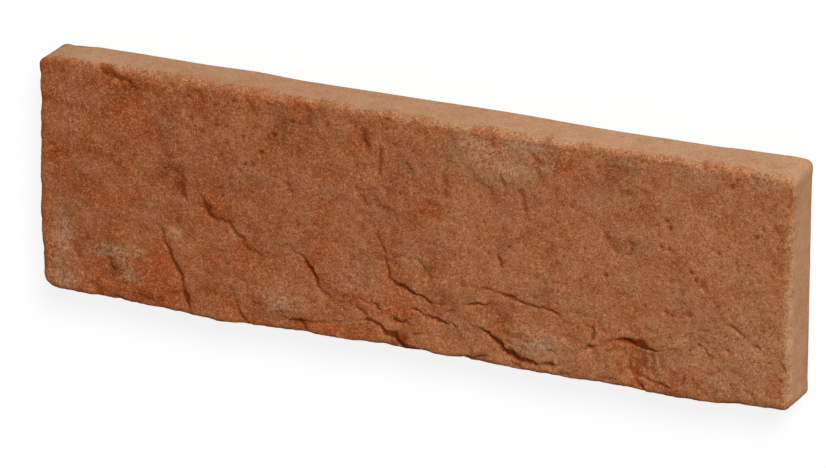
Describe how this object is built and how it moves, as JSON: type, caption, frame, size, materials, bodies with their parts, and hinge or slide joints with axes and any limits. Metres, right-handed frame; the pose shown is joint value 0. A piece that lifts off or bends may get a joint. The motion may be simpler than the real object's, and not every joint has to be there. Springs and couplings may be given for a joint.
{
  "type": "concrete brick veneer tile",
  "caption": "Thin cast-concrete facing tile in the shape of a brick's face, with a split-stone front and a flat back that is bonded to a wall.",
  "frame": {"origin": "middle of the flat back that is bonded to the wall", "axes": "+X along the course, +Y to the edge that is uppermost on the wall, +Z out of the wall through the split face"},
  "size_m": [0.24, 0.0763, 0.016],
  "materials": {
    "dyed_concrete": "matt"
  },
  "bodies": {
    "root": {"veneer_tile": "dyed_concrete"}
  },
  "joints": []
}
